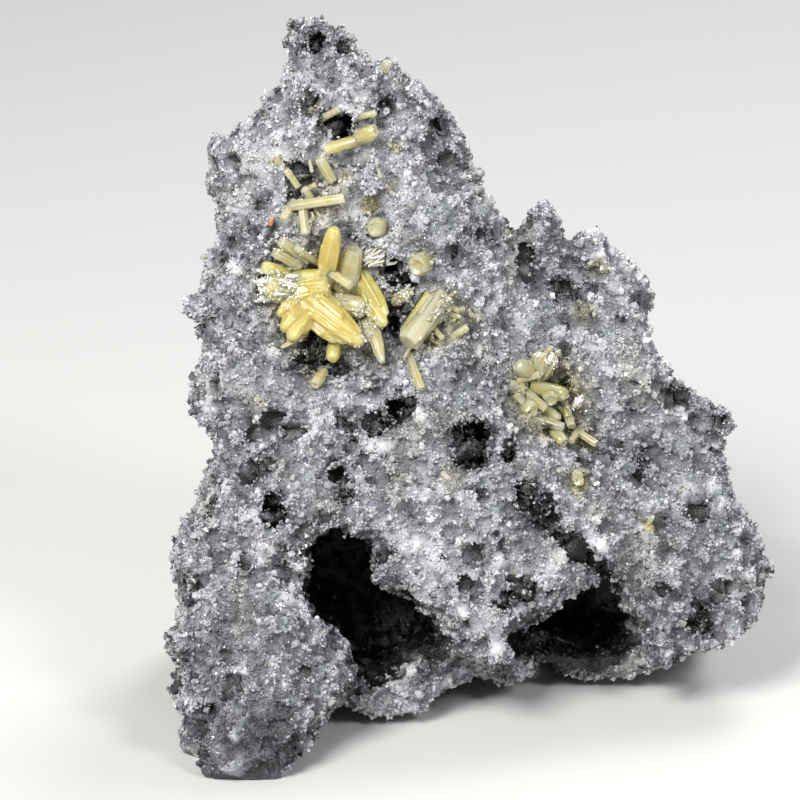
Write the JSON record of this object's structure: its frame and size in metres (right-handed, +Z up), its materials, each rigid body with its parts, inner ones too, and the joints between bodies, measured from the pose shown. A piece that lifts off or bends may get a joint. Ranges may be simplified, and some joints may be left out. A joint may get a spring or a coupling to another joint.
{
  "type": "mimetite crystal specimen on quartz matrix",
  "caption": "Leaning block of grey drusy quartz hollowed by low caves, with a spray of honey mimetite crystals and scattered pale hexagonal prisms on its face.",
  "frame": {"origin": "the middle of the bounding box, on the surface that the specimen rests on", "axes": "+Z up, +X to the right when the crystals are faced, +Y away from the viewer, into the rock"},
  "size_m": [0.0492, 0.0344, 0.0537],
  "materials": {
    "drusy_quartz": "sugary druse of grey and white quartz grains with dark metallic specks, sparkling",
    "honey_mimetite": "milky honey-yellow, translucent, resinous and finely striated",
    "pale_mimetite": "clear pale yellow-green, glassy"
  },
  "bodies": {
    "root": {"matrix": "drusy_quartz", "main_spray": "honey_mimetite", "long_prism_group": "pale_mimetite", "upper_prism_pair": "pale_mimetite", "top_prism": "pale_mimetite", "top_right_prism": "pale_mimetite", "short_prism": "pale_mimetite", "shadowed_prism": "pale_mimetite", "upper_end_on_barrel": "pale_mimetite", "right_end_on_barrel": "honey_mimetite", "stout_prism_group": "honey_mimetite", "side_prism": "pale_mimetite", "pale_stub": "pale_mimetite", "right_pocket_crust": "pale_mimetite"}
  },
  "joints": []
}
